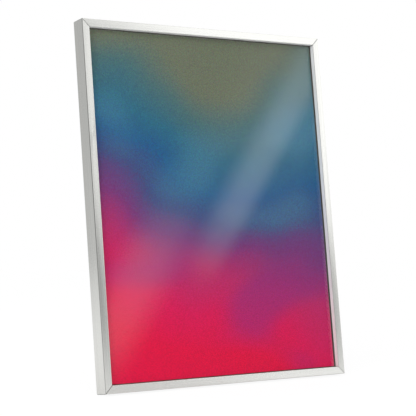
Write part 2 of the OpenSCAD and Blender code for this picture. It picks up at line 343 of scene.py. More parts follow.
class Finish(Board):
    """The material of a piece. Patterns are placed in the frame's own leaning axes."""

    def __init__(self, name, **values):
        self.material = bpy.data.materials.new(name)
        self.material.use_nodes = True
        super().__init__(self.material.node_tree)
        self.tree.nodes.clear()
        self.body = self.node("ShaderNodeBsdfPrincipled", {}, values)
        self.output = self.node("ShaderNodeOutputMaterial", {}, {"Surface": self.body})

    def place(self, size, turn=FRAME_TURN, centre=(0, 0, 0)):
        """Coordinates along the frame's axes, from a centre in millimetres.

        Their unit is one size in metres, or one for each axis.
        """
        sizes = (size, size, size) if isinstance(size, float) else size
        return self.node(
            "ShaderNodeMapping",
            {"vector_type": "TEXTURE"},
            {
                "Vector": self.node("ShaderNodeTexCoord", output="Object"),
                "Location": LEANED @ Vector(centre),
                "Rotation": (turn, 0, 0),
                "Scale": sizes,
            },
        )

    def drive(self, name, signal):
        self.tree.links.new(signal.socket, self.body.socket.node.inputs[name])

    def bump(self, height, depth):
        """Relief that is too fine to be drawn. Its depth is in metres."""
        inputs = {"Height": height, "Distance": depth}
        self.drive("Normal", self.node("ShaderNodeBump", {}, inputs))

    def surface(self, shader):
        self.tree.links.new(shader.socket, self.output.inputs["Surface"])


# Finishes. A noise is named for what it stands for, and its size is in metres

# Colours, in pairs of a dark and a pale tone, or a cool and a warm one for zinc
BRUSHED_TONES = (0.80, 0.804, 0.776, 1), (0.93, 0.935, 0.903, 1)
ETCHED_TONES = (0.78, 0.785, 0.79, 1), (0.88, 0.882, 0.88, 1)
SAWN_TONES = (0.34, 0.345, 0.33, 1), (0.56, 0.565, 0.55, 1)
CARD_TONES = rgb(146, 142, 134), rgb(186, 182, 174)
ZINC_TONES = (0.60, 0.62, 0.64, 1), (0.70, 0.67, 0.58, 1)
SPRING_TONES = (0.40, 0.42, 0.46, 1), (0.56, 0.56, 0.55, 1)
BLACK_TONES = (0.045, 0.047, 0.052, 1), (0.10, 0.10, 0.105, 1)
KEY_TONES = (0.30, 0.30, 0.31, 1), (0.46, 0.46, 0.46, 1)
RUBBER_TONES = rgb(36, 36, 38), rgb(66, 65, 64)

# Other colours
WHITE = (1, 1, 1, 1)
GLASS_TINT = (0.985, 0.99, 0.99, 1)
SPANGLE_GREY = (0.45, 0.47, 0.50, 1)
PALE_FLECK = rgb(174, 138, 102)
DARK_FLECK = rgb(70, 46, 32)
GLOW_BLUE = rgb(84, 146, 172)
BLUSH_PINK = rgb(158, 46, 132)
DOT_PURPLE = rgb(60, 20, 48)
# Painted shade: the dark line round the printed sheet's edge, for the lip's shadow there
PAINTED_SHADE_BLACK = (0.07, 0.068, 0.05, 1)
FLOOR_GREY = (0.80, 0.80, 0.80, 1)

# The browns of pressed board, and the colours of the printed sheet from its bottom to its top
BOARD_STOPS = [(0.32, rgb(104, 74, 51)), (0.5, rgb(124, 89, 62)), (0.68, rgb(142, 106, 76))]
SHEET_STOPS = [
    (0.02, rgb(244, 0, 72)),
    (0.18, rgb(234, 16, 94)),
    (0.30, rgb(200, 44, 112)),
    (0.41, rgb(132, 60, 130)),
    (0.51, rgb(70, 84, 138)),
    (0.62, rgb(32, 100, 150)),
    (0.74, rgb(44, 114, 140)),
    (0.86, rgb(80, 120, 122)),
    (0.98, rgb(118, 126, 104)),
]

# Depths of relief, in metres
FAINT = 0.00002
FINE = 0.00003
PULPY = 0.00008
WOVEN = 0.00009


def drawn_out(along, long, fine):
    """The size of a pattern that is long along one axis and fine across it."""
    return [long if axis == along else fine for axis in "xyz"]


def brushed(name, along):
    """Satin aluminium brushed along a rail: fine scratches that spread the light across it."""
    quarter_turn = 0.25 if along == "x" else 0.0
    spread = {"Anisotropic": 0.9, "Anisotropic Rotation": quarter_turn}
    finish = Finish(name, **{"Metallic": 1.0, **spread})
    fine = finish.noise(finish.place(drawn_out(along, 0.09, 0.00022)), detail=3)
    broad = finish.noise(finish.place(drawn_out(along, 0.45, 0.0016)), detail=2)
    smudge = finish.noise(finish.place(0.11), detail=3)
    lines = fine * 0.5 + broad * 0.5
    finish.drive("Base Color", finish.tones(lines, BRUSHED_TONES))
    finish.drive("Roughness", 0.12 + lines * 0.07 + smudge * 0.04)
    finish.bump(fine * 0.35 + broad * 0.65, FINE)
    return finish.material


def etched():
    """Matte etched aluminium, as on the walls of the lip that no brush reaches."""
    finish = Finish("aluminium_etched", **{"Specular IOR Level": 0.25})
    grain = finish.noise(finish.place(0.0004), detail=3)
    cloud = finish.noise(finish.place(0.02), detail=2)
    mottle = grain * 0.5 + cloud * 0.5
    finish.drive("Metallic", 0.20 + grain * 0.08)
    finish.drive("Base Color", finish.tones(mottle, ETCHED_TONES))
    finish.drive("Roughness", 0.42 + grain * 0.16)
    finish.bump(grain, FAINT)
    return finish.material


def sawn():
    """The sawn ends of the rails, greyer and rougher than their faces, in the joint line."""
    finish = Finish("aluminium_sawn", Metallic=1.0)
    cuts = finish.noise(finish.place((0.0003, 0.004, 0.0003)), detail=3)
    finish.drive("Base Color", finish.tones(cuts, SAWN_TONES))
    finish.drive("Roughness", 0.45 + cuts * 0.2)
    finish.bump(cuts, FINE)
    return finish.material


# Share of the light that the glass mirrors face on, what a smear adds, and what a flat view adds
# by the power of how flat it is
GLASS_MIRROR = 0.036
GLASS_SMEAR = 0.006
GLASS_FLAT = 0.95
FLAT_POWER = 5.0


def clear_glass():
    """Thin clear glass, which mirrors more the flatter it is seen."""
    finish = Finish("clear_glass")
    facing = finish.node("ShaderNodeLayerWeight", {}, {"Blend": 0.5}, "Facing")
    smear = finish.noise(finish.place((0.16, 0.16, 0.05)), detail=4)
    mirror = finish.node("ShaderNodeBsdfGlossy", {}, {"Color": WHITE, "Roughness": 0.0})
    clear = finish.node("ShaderNodeBsdfTransparent", {}, {"Color": GLASS_TINT})
    share = GLASS_MIRROR + smear * GLASS_SMEAR + facing**FLAT_POWER * GLASS_FLAT
    finish.tree.nodes.remove(finish.body.socket.node)
    finish.surface(finish.node("ShaderNodeMixShader", {}, {0: share, 1: clear, 2: mirror}))
    return finish.material


# How far the dark line of painted shade at the sheet's edge, where the lip's shadow falls, is
# full, and where it is gone, in millimetres
PAINTED_SHADE_FULL = 6.0
PAINTED_SHADE_GONE = 6.6


def printed_paper():
    """Soft bands of colour that roll across the sheet, with a fine grain and a dark line of
    painted shade round its edge, where the lip's shadow falls.
    """
    finish = Finish("printed_paper", **{"Roughness": 0.55, "Specular IOR Level": 0.2})
    half_sheet = (STACK_W / 2 / MM_PER_M, 1, STACK_H / 2 / MM_PER_M)
    across, _, up = finish.xyz(finish.place(half_sheet, centre=(0, 0, FRAME_H / 2)))
    drift = finish.noise(finish.place((0.16, 0.16, 0.12)), detail=1)
    grain = finish.noise(finish.place(0.0014), roughness=0.7)
    inks = finish.noise(finish.place(0.0018), output="Color")
    haze = finish.noise(finish.place((0.13, 0.13, 0.09), centre=(70, 0, 160)), detail=0)
    blush = finish.noise(finish.place((0.14, 0.14, 0.09), centre=(-160, 0, 90)), detail=0)

    wide_roll = (across * 1.9 + up * 1.1 + 0.6).sine() * 0.10
    short_roll = (across * 3.9 - up * 1.7 + 2.2).sine() * 0.04
    roll = wide_roll + short_roll
    level = up * 0.5 + 0.5 + roll + (drift - 0.5) * 0.18 + (grain - 0.5) * 0.12
    colour = finish.ramp(level, SHEET_STOPS)
    middle = finish.step(level, 0.40, 0.56) * finish.step(level, 0.92, 0.7)
    glow = finish.step(haze, 0.45, 0.7) * middle * 0.45
    lower = finish.step(level, 0.50, 0.30) * finish.step(level, 0.02, 0.16)
    rosy = finish.step(blush, 0.46, 0.72) * lower * 0.55
    colour = finish.mix(glow, colour, GLOW_BLUE)
    colour = finish.mix(rosy, colour, BLUSH_PINK)

    inked = finish.mix(0.5, colour, inks, "OVERLAY")
    dots = finish.step(grain, 0.62, 0.3) * 0.24
    dotted = finish.mix(dots, inked, DOT_PURPLE)
    # Painted shade: a dark line round the sheet's edge, for the shadow that the lip casts there
    edge = (1.0 - abs(across)) * STACK_W / 2
    ends = (1.0 - abs(up)) * STACK_H / 2
    painted_edge_shade = finish.step(edge.least(ends), PAINTED_SHADE_GONE, PAINTED_SHADE_FULL)
    finish.drive("Base Color", finish.mix(painted_edge_shade, dotted, PAINTED_SHADE_BLACK))
    finish.drive("Roughness", 0.5 + grain * 0.12)
    finish.bump(grain, FAINT)
    return finish.material


def grey_card():
    """Grey backing card with short pulp fibres."""
    finish = Finish("grey_card", Roughness=0.9)
    pulp = finish.noise(finish.place(0.0016), detail=4, roughness=0.7)
    cloud = finish.noise(finish.place(0.05), detail=2)
    finish.drive("Base Color", finish.tones(pulp * 0.7 + cloud * 0.3, CARD_TONES))
    finish.drive("Roughness", 0.82 + pulp * 0.12)
    finish.bump(pulp, PULPY)
    return finish.material


def hardboard(name, turn):
    """Pressed brown board: dark fibres, pale specks, and the weave of the press screen."""
    finish = Finish(name, Roughness=0.75)
    fibre = finish.noise(finish.place((0.0016, 0.0016, 0.0009), turn), detail=4, roughness=0.7)
    cloud = finish.noise(finish.place((0.07, 0.07, 0.05), turn), detail=3)
    speck = finish.noise(finish.place(0.0012, turn), detail=1)
    across, _, up = finish.xyz(finish.place((0.00024, 1, 0.00024), turn))
    screen = across.sine() * up.sine()
    board = finish.ramp(fibre * 0.8 + cloud * 0.2, BOARD_STOPS)
    pale = finish.step(speck, 0.66, 0.78) * 0.35
    dark = finish.step(speck, 0.36, 0.26) * 0.45
    flecked = finish.mix(pale, board, PALE_FLECK)
    finish.drive("Base Color", finish.mix(dark, flecked, DARK_FLECK))
    finish.drive("Roughness", 0.62 + fibre * 0.22)
    finish.bump(fibre * 0.7 + screen * 0.3, WOVEN)
    return finish.material


def zinc_steel(name, turn):
    """Zinc-plated sheet with faint spangles and a warm tint where it is thin."""
    finish = Finish(name, Metallic=1.0)
    grid = {"Vector": finish.place(0.0021, turn), "Scale": 1.0}
    spangle = finish.node("ShaderNodeTexVoronoi", {}, grid, "Distance")
    haze = finish.noise(finish.place(0.012, turn), detail=4)
    scuff = finish.noise(finish.place((0.0005, 0.0005, 0.006), turn), detail=3)
    plated = finish.mix(finish.step(haze, 0.4, 0.7), *ZINC_TONES)
    finish.drive("Base Color", finish.mix(spangle * 0.25, plated, SPANGLE_GREY))
    finish.drive("Roughness", 0.26 + haze * 0.16 + scuff * 0.10)
    finish.bump(scuff, FINE)
    return finish.material


def spring_steel():
    """Bright rolled spring strip with a blued cast and fine rolling lines."""
    finish = Finish("spring_steel", Metallic=1.0)
    rolled = finish.noise(finish.place((0.00025, 0.02, 0.02)), detail=3)
    cast = finish.noise(finish.place(0.008), detail=3)
    shade = finish.tones(cast * 0.6 + rolled * 0.4, SPRING_TONES, 0.35, 0.65)
    finish.drive("Base Color", shade)
    finish.drive("Roughness", 0.22 + rolled * 0.14 + cast * 0.1)
    finish.bump(rolled, FINE)
    return finish.material


def dull_steel(name, pair, rough):
    """Oiled or blackened steel with cloudy stains."""
    finish = Finish(name, Metallic=1.0)
    stain = finish.noise(finish.place(0.006), detail=5, roughness=0.6)
    grit = finish.noise(finish.place(0.0006), detail=2)
    finish.drive("Base Color", finish.tones(stain, pair, 0.35, 0.65))
    finish.drive("Roughness", rough + stain * 0.15)
    finish.bump(grit, FINE)
    return finish.material


def shoe_rubber():
    """Moulded dark rubber with a dusty bloom."""
    finish = Finish("shoe_rubber", Roughness=0.7)
    bloom = finish.noise(finish.place((0.02, 0.02, 0.01), STRUT_TURN), detail=4)
    pore = finish.noise(finish.place(0.0007, STRUT_TURN), detail=2)
    finish.drive("Base Color", finish.tones(bloom, RUBBER_TONES, 0.35, 0.7))
    finish.drive("Roughness", 0.58 + bloom * 0.25)
    finish.bump(pore, PULPY)
    return finish.material


ALONG = brushed("aluminium_brushed_along", "x")
UPRIGHT = brushed("aluminium_brushed_upright", "z")
ETCHED = etched()
SAWN = sawn()
GLASS = clear_glass()
PAPER = printed_paper()
CARD = grey_card()
PANEL_BOARD = hardboard("hardboard_panel", FRAME_TURN)
STRUT_BOARD = hardboard("hardboard_strut", STRUT_TURN)
ZINC = zinc_steel("zinc_steel", FRAME_TURN)
STRUT_ZINC = zinc_steel("zinc_steel_strut", STRUT_TURN)
SPRING = spring_steel()
BLACK = dull_steel("black_oxide_steel", BLACK_TONES, 0.35)
KEY_STEEL = dull_steel("key_steel", KEY_TONES, 0.32)
RUBBER = shoe_rubber()


# Making of pieces


def settle(item):
    """Makes a piece with its modifiers into a plain mesh."""
    graph = bpy.context.evaluated_depsgraph_get()
    graph.update()
    plain = bpy.data.meshes.new_from_object(item.evaluated_get(graph), depsgraph=graph)
    item.modifiers.clear()
    item.data = plain


def linked(name, data):
    """A new object of the scene."""
    item = bpy.data.objects.new(name, data)
    bpy.context.scene.collection.objects.link(item)
    return item


def in_scene(name, mesh, materials=()):
    """An object of a drawn mesh, with its faces turned outwards."""
    bmesh.ops.recalc_face_normals(mesh, faces=mesh.faces)
    data = bpy.data.meshes.new(name)
    mesh.to_mesh(data)
    mesh.free()
    for material in materials:
        data.materials.append(material)
    return linked(name, data)


def press(item, die, cut):
    """Cuts a piece with a die: to the die's outline, or by what the die takes out of it."""
    stroke = item.modifiers.new("press", "BOOLEAN")
    stroke.operation = cut
    stroke.solver = "EXACT"
    stroke.object = die


def break_edges(item, width, segments):
    """Rounds the edges of a piece, as a file or a tumbler leaves them."""
    bevel = item.modifiers.new("edges", "BEVEL")
    bevel.width = width / MM_PER_M
    bevel.segments = segments
    bevel.limit_method = "ANGLE"
    bevel.angle_limit = math.radians(BROKEN_BEND)
    bevel.miter_outer = "MITER_ARC"


def shade_by_faces(item):
    """Smooth shading that large faces rule, so that they look flat."""
    item.data.shade_smooth()
    weight = item.modifiers.new("normals", "WEIGHTED_NORMAL")
    weight.mode = "FACE_AREA"
    weight.keep_sharp = True


def make(
    name, mesh, place, materials, body, stands_for,
    edge=0.0, segments=2, die=None, cut="INTERSECT",
):
    """Puts a drawn piece in its place, finishes its edges, and lets it ride on its body.

    A die is a solid that the piece is cut with: to its outline, or as grooves in the piece.
    """
    mesh.transform(place)
    item = in_scene(name, mesh, materials)
    if die:
        press(item, die, cut)
    if edge:
        break_edges(item, edge, segments)
    shade_by_faces(item)
    settle(item)
    if die:
        bpy.data.objects.remove(die)
    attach(item, body)
    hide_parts(*stands_for)


def rounded(corners, inset):
    """Square-cornered outline moved in by inset, each corner an arc of its own radius."""
    points = []
    count = len(corners)
    for i, (y, u, radius) in enumerate(corners):
        here = Vector((y, u))
        into = (here - Vector(corners[i - 1][:2])).normalized()
        out = (Vector(corners[(i + 1) % count][:2]) - here).normalized()
        left_turn = into.x * out.y - into.y * out.x
        corner = here + inset * (out - into) * (1 if left_turn > 0 else -1)
        arc = max(radius - inset, LEAST_ARRIS) if left_turn > 0 else radius + inset
        centre = corner - arc * into + arc * out
        for k in range(ARRIS_STEPS + 1):
            angle = math.pi / 2 * k / ARRIS_STEPS
            points.append(centre - out * arc * math.cos(angle) + into * arc * math.sin(angle))
    return points


def loft(mesh, rings, end_material=0):
    """Skins between closed rings of points, and caps both ends."""
    rows = [[mesh.verts.new(point) for point in ring] for ring in rings]
    for below, above in zip(rows, rows[1:]):
        count = len(below)
        for i in range(count):
            j = (i + 1) % count
            mesh.faces.new((below[i], below[j], above[j], above[i]))
    caps = [mesh.faces.new(rows[0]), mesh.faces.new(reversed(rows[-1]))]
    for cap in caps:
        cap.material_index = end_material
    bmesh.ops.triangulate(mesh, faces=caps)


def raised(outline, low, high):
    """A solid of an outline in X and Z, from one depth to another."""
    mesh = bmesh.new()
    loft(mesh, [[(p.x, y, p.y) for p in outline] for y in (low, high)])
    return mesh


# Rails

# Depth, height into the frame and radius of each corner, from the outer edge of the face
RAIL_SECTION = [
    (0, 0, OUTER_ARRIS),
    (FRAME_D, 0, BACK_ARRIS),
    (FRAME_D, CHANNEL_W, SMALL_ARRIS),
    (CHANNEL_BACK - HOOK, CHANNEL_W, SMALL_ARRIS),
    (CHANNEL_BACK - HOOK, CHANNEL_W - HOOK, SMALL_ARRIS),
    (CHANNEL_BACK, CHANNEL_W - HOOK, SMALL_ARRIS),
    (CHANNEL_BACK, WALL, SMALL_ARRIS),
    (CHANNEL_FRONT, WALL, SMALL_ARRIS),
    (CHANNEL_FRONT, CHANNEL_W - HOOK, SMALL_ARRIS),
    (CHANNEL_FRONT + HOOK, CHANNEL_W - HOOK, SMALL_ARRIS),
    (CHANNEL_FRONT + HOOK, CHANNEL_W, SMALL_ARRIS),
    (CHANNEL_FRONT - WALL, CHANNEL_W, SMALL_ARRIS),
    (CHANNEL_FRONT - WALL, WALL, SMALL_ARRIS),
    (WALL, WALL, SMALL_ARRIS),
    (WALL, FACE_W - WALL, SMALL_ARRIS),
    (LIP_D, FACE_W - WALL, SMALL_ARRIS),
    (LIP_D, FACE_W, SMALL_ARRIS),
    (0, FACE_W, INNER_ARRIS),
]
# Materials of a rail, in the order of their slots
BRUSHED_FACE, ETCHED_FACE, SAWN_FACE = range(3)


def rail(side):
    """One rail: its section drawn out between two mitres whose edges are broken."""
    _, length, _ = SIDES[side]
    half = length / 2 - MITRE_GAP / math.sqrt(2)
    ends = [(MITRE_BREAK, 0.0), (0.0, MITRE_BREAK * math.sqrt(2))]
    rings = []
    for sign, order in ((-1, ends), (1, ends[::-1])):
        for inset, back in order:
            section = rounded(RAIL_SECTION, inset)
            rings.append([(sign * (half - p.y - back), p.x, p.y) for p in section])
    mesh = bmesh.new()
    loft(mesh, rings, SAWN_FACE)
    for face in mesh.faces:
        if all(v.co.z > FACE_W - SMALL_ARRIS for v in face.verts):
            face.material_index = ETCHED_FACE
    brush = ALONG if side in ("bottom", "top") else UPRIGHT
    make(
        f"satin_rail_{side}", mesh, LEANED @ on_side(side), [brush, ETCHED, SAWN], "frame",
        [f"rail_{side}"],
    )


# Glass and turn clips


def glass_sheet():
    """The glazing, with its edges seamed."""
    base = (FRAME_H - STACK_H) / 2
    corners = [(-1, 0), (1, 0), (1, 1), (-1, 1)]
    outline = [Vector((x * STACK_W / 2, base + z * STACK_H)) for x, z in corners]
    mesh = raised(outline, GLASS_FRONT, GLASS_BACK)
    make(
        "glass_sheet", mesh, LEANED, [GLASS], "frame", ["glazing"],
        edge=GLASS_EDGE,
    )


def clip_strip():
    """Centre line of a turn clip from its nose to its finger lip: z, y, and half width."""
    radius = CLIP_W / 2
    nose = CLIP_TIP - CLIP_PIVOT + radius
    flat_y = PANEL_BACK + CLIP_GAP + CLIP_T / 2
    stations = []
    for k in range(NOSE_STEPS + 1):
        angle = math.radians(NOSE_START + (90 - NOSE_START) * k / NOSE_STEPS)
        stations.append((nose - radius * math.cos(angle), flat_y, radius * math.sin(angle)))
    upright_z = CLIP_TAIL - CLIP_T / 2
    for k in range(BEND_STEPS + 1):
        angle = math.pi / 2 * k / BEND_STEPS
        z = upright_z - CLIP_BEND + CLIP_BEND * math.sin(angle)
        y = flat_y + CLIP_BEND - CLIP_BEND * math.cos(angle)
        stations.append((z, y, radius))
    stations.append((upright_z, flat_y - CLIP_T / 2 + CLIP_LIP_H, radius * CLIP_TAPER))
    return stations


def turn_clip(name):
    """Spring-steel clip: a round nose over the rail's channel and a tail bent up."""
    side, along = CLIPS[name]
    stations = clip_strip()
    last = len(stations) - 1
    rings = []
    for i, (z, y, half) in enumerate(stations):
        before, after = stations[max(i - 1, 0)], stations[min(i + 1, last)]
        run = Vector((after[0] - before[0], after[1] - before[1])).normalized()
        off = Vector((-run.y, run.x)) * CLIP_T / 2
        if i == 0:
            off = Vector((0, CLIP_T / 2))
        elif i == last:
            off = Vector((-CLIP_T / 2, 0))
        under, over = (y - off.y, z - off.x), (y + off.y, z + off.x)
        rings.append([(-half, *under), (half, *under), (half, *over), (-half, *over)])
    mesh = bmesh.new()
    loft(mesh, rings)
    place = LEANED @ on_side(side) @ Matrix.Translation((along, 0, CLIP_PIVOT))
    make(
        f"spring_clip_{name}", mesh, place, [SPRING], f"clip_{name}",
        [f"turn_clip_{name}"], edge=CLIP_EDGE,
    )


# Pressed, cut and moulded pieces


def dressed(node, name, material, body, edge, segments=2, die=None, cut="INTERSECT"):
    """A copy of a CAD node with its edges broken, which stands for it."""
    mesh = bmesh.new()
    mesh.from_mesh(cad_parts[node].data)
    bmesh.ops.remove_doubles(mesh, verts=mesh.verts, dist=WELD)
    flat = math.radians(FLAT_BEND)
    bmesh.ops.dissolve_limit(mesh, angle_limit=flat, verts=mesh.verts, edges=mesh.edges)
    make(name, mesh, Matrix.Identity(4), [material], body, [node], edge, segments, die, cut)


def outline_die(low, high, radius):
    """Die that rounds a plate's corners, for a rectangle in X and Z from low to high."""
    corners = [(low[0], low[1]), (high[0], low[1]), (high[0], high[1]), (low[0], high[1])]
    outline = rounded([(x, z, radius) for x, z in corners], DIE_PLAY)
    mesh = raised(outline, 0, 2 * FRAME_D)
    mesh.transform(LEANED)
    return in_scene("die", mesh)


def strut_points(node):
    """The points of a node of the strut, in the strut's own drawing."""
    flat = ON_STRUT.inverted()
    return [flat @ vert.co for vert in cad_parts[node].data.vertices]


def groove_die():
    """Rods that press grooves across the back of the shoe."""
    points = strut_points("strut_shoe")
    foot, back = min(p.z for p in points), max(p.y for p in points)
    length = 2 * max(p.x for p in points) + 2 * ROD_SPARE
    mesh = bmesh.new()
    for i in range(GROOVES):
        y = back + GROOVE_R - GROOVE_DEPTH
        z = foot + GROOVE_FIRST + i * GROOVE_PITCH
        rod = Matrix.Translation((0, y, z)) @ Matrix.Rotation(math.pi / 2, 4, "Y")
        bmesh.ops.create_cone(
            mesh, cap_ends=True, segments=GROOVE_SIDES, radius1=GROOVE_R, radius2=GROOVE_R,
            depth=length, matrix=rod,
        )
    mesh.transform(ON_STRUT)
    return in_scene("die", mesh)


def strut_board():
    """The strut's board, cut with round shoulders; its foot is as deep as the solid's."""
    points = strut_points("strut")
    foot, half_foot = min(p.z for p in points), max(p.x for p in points)
    half_top = max(p.x for p in points if p.z > -STRUT_START - TOUCH)
    corners = [
        (-half_foot, foot, FOOT_CORNER_R), (half_foot, foot, FOOT_CORNER_R),
        (half_top, -STRUT_START, SHOULDER_R), (-half_top, -STRUT_START, SHOULDER_R),
    ]
    mesh = raised(rounded(corners, 0.0), LEAF_T / 2, LEAF_T / 2 + STRUT_T)
    make(
        "strut_board", mesh, ON_STRUT, [STRUT_BOARD], "strut", ["strut"],
        edge=BOARD_EDGE,
    )


def hinge():
    """The folded plate on the back panel, the pin, and the leaf that the strut hangs on."""
    die = outline_die(
        (-PLATE_W / 2, HINGE_Z - PLATE_DOWN), (PLATE_W / 2, HINGE_Z + PLATE_UP), PLATE_CORNER_R
    )
    dressed(
        "hinge_plate", "folded_hinge_plate", ZINC, "frame", SHEET_EDGE, die=die
    )
    dressed("hinge_pin", "headed_hinge_pin", ZINC, "frame", PIN_EDGE, 3)
    dressed("strut_leaf", "curled_strut_leaf", STRUT_ZINC, "strut", SHEET_EDGE)


def shoe():
    """The moulded shoe at the foot of the strut."""
    dressed(
        "strut_shoe", "moulded_shoe", RUBBER, "strut", SHOE_EDGE,
        die=groove_die(), cut="DIFFERENCE",
    )


def hanger(side, sign):
    """A keyhole hanger with its corners rounded."""
    x, half_w, half_h = sign * HANGER_X, HANGER_W / 2, HANGER_H / 2
    die = outline_die(
        (x - half_w, HANGER_Z - half_h), (x + half_w, HANGER_Z + half_h), HANGER_CORNER_R
    )
    dressed(
        f"hanger_{side}", f"pressed_hanger_{side}", ZINC, "frame", HANGER_EDGE,
        die=die,
    )


# Rivets, placed by geometry nodes


def rivet_tree(material):
    """Geometry nodes that stand a domed rivet with a hollow middle on every point."""
    tree = bpy.data.node_groups.new("domed_rivets", "GeometryNodeTree")
    tree.interface.new_socket("Points", in_out="INPUT", socket_type="NodeSocketGeometry")
    for name in ("Head radius", "Head height", "Shank radius", "Grip"):
        tree.interface.new_socket(name, in_out="INPUT", socket_type="NodeSocketFloat")
    tree.interface.new_socket("Rivets", in_out="OUTPUT", socket_type="NodeSocketGeometry")
    board = Board(tree)
    given = tree.nodes.new("NodeGroupInput")
    points, head_r, head_h, shank_r, grip = [Signal(board, s) for s in given.outputs[:5]]

    def post(radius, height, middle, rings):
        drawn = board.node(
            "GeometryNodeMeshCylinder",
            {},
            {"Vertices": HEAD_SIDES, "Fill Segments": rings, "Radius": radius, "Depth": height},
        )
        lift = board.node("ShaderNodeCombineXYZ", {}, {2: middle})
        return board.node("GeometryNodeTransform", {}, {"Geometry": drawn, "Translation": lift})

    blank = post(head_r, head_h, head_h * 0.5, HEAD_RINGS)
    x, y, z = board.xyz(board.node("GeometryNodeInputPosition"))
    out = (x * x + y * y).root() / head_r
    dome = head_h * (1.0 - out * out * DOME_FALL).most(0.0).root()
    pit = head_h * PIT_DEPTH * board.step(out, PIT_RIM, PIT_FLOOR)
    drop = (dome - pit - head_h) * (z > head_h * 0.5)
    offset = board.node("ShaderNodeCombineXYZ", {}, {2: drop})
    shaped = board.node("GeometryNodeSetPosition", {}, {"Geometry": blank, "Offset": offset})
    shank = post(shank_r, grip + head_h * SHANK_INTO, grip * -0.5, 1)
    inner = post(head_r, head_h, head_h * 0.5 - grip, 1)
    rivet = board.node("GeometryNodeJoinGeometry")
    for part in (shaped, shank, inner):
        tree.links.new(part.socket, rivet.socket.node.inputs[0])
    stood = board.node(
        "GeometryNodeInstanceOnPoints",
        {},
        {"Points": points, "Instance": rivet, "Rotation": (-math.pi / 2, 0, 0)},
    )
    real = board.node("GeometryNodeRealizeInstances", {}, {"Geometry": stood})
    smooth = board.node("GeometryNodeSetShadeSmooth", {}, {"Geometry": real})
    coated = board.node(
        "GeometryNodeSetMaterial", {}, {"Geometry": smooth, "Material": material}
    )
    tree.links.new(coated.socket, tree.nodes.new("NodeGroupOutput").inputs[0])
    return tree


def rivets(name, places, grip, place, material, body, stands_for):
    """A set of rivets whose outer heads sit at the given places of a drawing."""
    data = bpy.data.meshes.new(name)
    data.from_pydata([tuple(p) for p in places], [], [])
    item = linked(name, data)
    growth = item.modifiers.new("rivets", "NODES")
    tree = rivet_tree(material)
    growth.node_group = tree
    sizes = {"Head radius": HEAD_R, "Head height": HEAD_T, "Shank radius": RIVET_R, "Grip": grip}
    for socket in tree.interface.items_tree:
        if socket.name in sizes:
            growth[socket.identifier] = sizes[socket.name]
    settle(item)
    item.data.transform(place)
    item.data.set_sharp_from_angle(angle=math.radians(SHARP_BEND))
    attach(item, body)
    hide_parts(stands_for)


def clip_rivet_places():
    """Where the turn clips' rivets come through, at the height of their heads."""
    y = PANEL_BACK + CLIP_GAP + CLIP_T + HEAD_GAP
    return [on_side(side) @ Vector((along, y, CLIP_PIVOT)) for side, along in CLIPS.values()]


def plate_rivet_places():
    """The four corners of the hinge plate."""
    inset = HEAD_R + LEAF_T
    return [
        (x, PANEL_BACK + LEAF_T, HINGE_Z + z)
        for x in (-PLATE_W / 2 + inset, PLATE_W / 2 - inset)
        for z in (-PLATE_DOWN + inset, PLATE_UP - inset)
    ]


def hanger_rivet_places():
    """Both feet of both hangers."""
    return [
        (side * HANGER_X + foot * HANGER_PITCH / 2, PANEL_BACK + HANGER_T, HANGER_Z)
        for side in (-1, 1)
        for foot in (-1, 1)
    ]


def strut_rivet_places():
    """Three places down the leaf that the strut hangs on."""
    first = STRUT_START + HEAD_R + LEAF_T
    last = LEAF_L - HEAD_R - LEAF_T
    return [(0, LEAF_T / 2 + STRUT_T, -s) for s in (first, (first + last) / 2, last)]


def back_rivets():
    """The rivets of the clips, the hinge plate and the hangers, and those of the strut."""
    panel = PANEL_BACK - PANEL_FRONT
    for kind, places, grip in (
        ("clip", clip_rivet_places(), panel + CLIP_GAP + CLIP_T + HEAD_GAP),
        ("plate", plate_rivet_places(), panel + LEAF_T),
        ("hanger", hanger_rivet_places(), panel + HANGER_T),
    ):
        rivets(f"domed_{kind}_rivets", places, grip, LEANED, ZINC, "frame", f"{kind}_rivets")
    rivets(
        "domed_strut_rivets", strut_rivet_places(), LEAF_T + STRUT_T + HEAD_T, ON_STRUT,
        STRUT_ZINC, "strut", "strut_rivets",
    )


# The object

for side in SIDES:
    rail(side)
glass_sheet()
for clip in CLIPS:
    turn_clip(clip)
back_rivets()
hinge()
strut_board()
shoe()
for side, sign in (("left", -1), ("right", 1)):
    hanger(side, sign)
for corner in ("bottom_left", "top_left", "top_right", "bottom_right"):
    dressed(
        f"corner_key_{corner}", f"angle_key_{corner}", KEY_STEEL, "frame",
        SHEET_EDGE,
    )

for node, material in {
    "grub_screws": BLACK,
    "print_sheet": PAPER,
    "backing_card": CARD,
    "back_panel": PANEL_BOARD,
}.items():
    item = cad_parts[node]
    item.data.materials.clear()
    item.data.materials.append(material)


# Studio. All angles in it are in degrees, and a direction is an azimuth and an elevation

# Strength of the white room for what it lights
ROOM = 0.82

# What the metal mirrors: the strength of the walls, and what each panel adds or takes away
WALL_GREY = 0.50
FRONT_MORE = 0.17
DADO_LESS = 0.58
WINDOW_MORE = 0.84
LEFT_LESS = 0.5
HIGH_LAMP_LIGHT = 0.5
LOW_LAMP_LIGHT = 0.35
# Azimuth, elevation, radius and soft edge of each
FRONT = (35, 12, 60, 30)
WINDOW = (62, 15, 27, 3)
HIGH_LAMP = (98, 58, 16, 14)
LOW_LAMP = (122, 14, 10, 14)
DARK_LEFT = (-60, 5, 50, 25)
# A line that the dado runs along, and where it starts and is full under and over that line
DADO_LINE = ((30, 9.3), (40, 7.1))
DADO_UNDER = (-3.6, -1.2)
DADO_OVER = (5.0, 0.6)
# Light from the floor, all round and in front: strength, and where it starts and is full
FLOOR_LIGHT = 0.05
FLOOR_BAND = (4, -1)
FRONT_LIGHT = 0.07
FRONT_BAND = (7, 3)

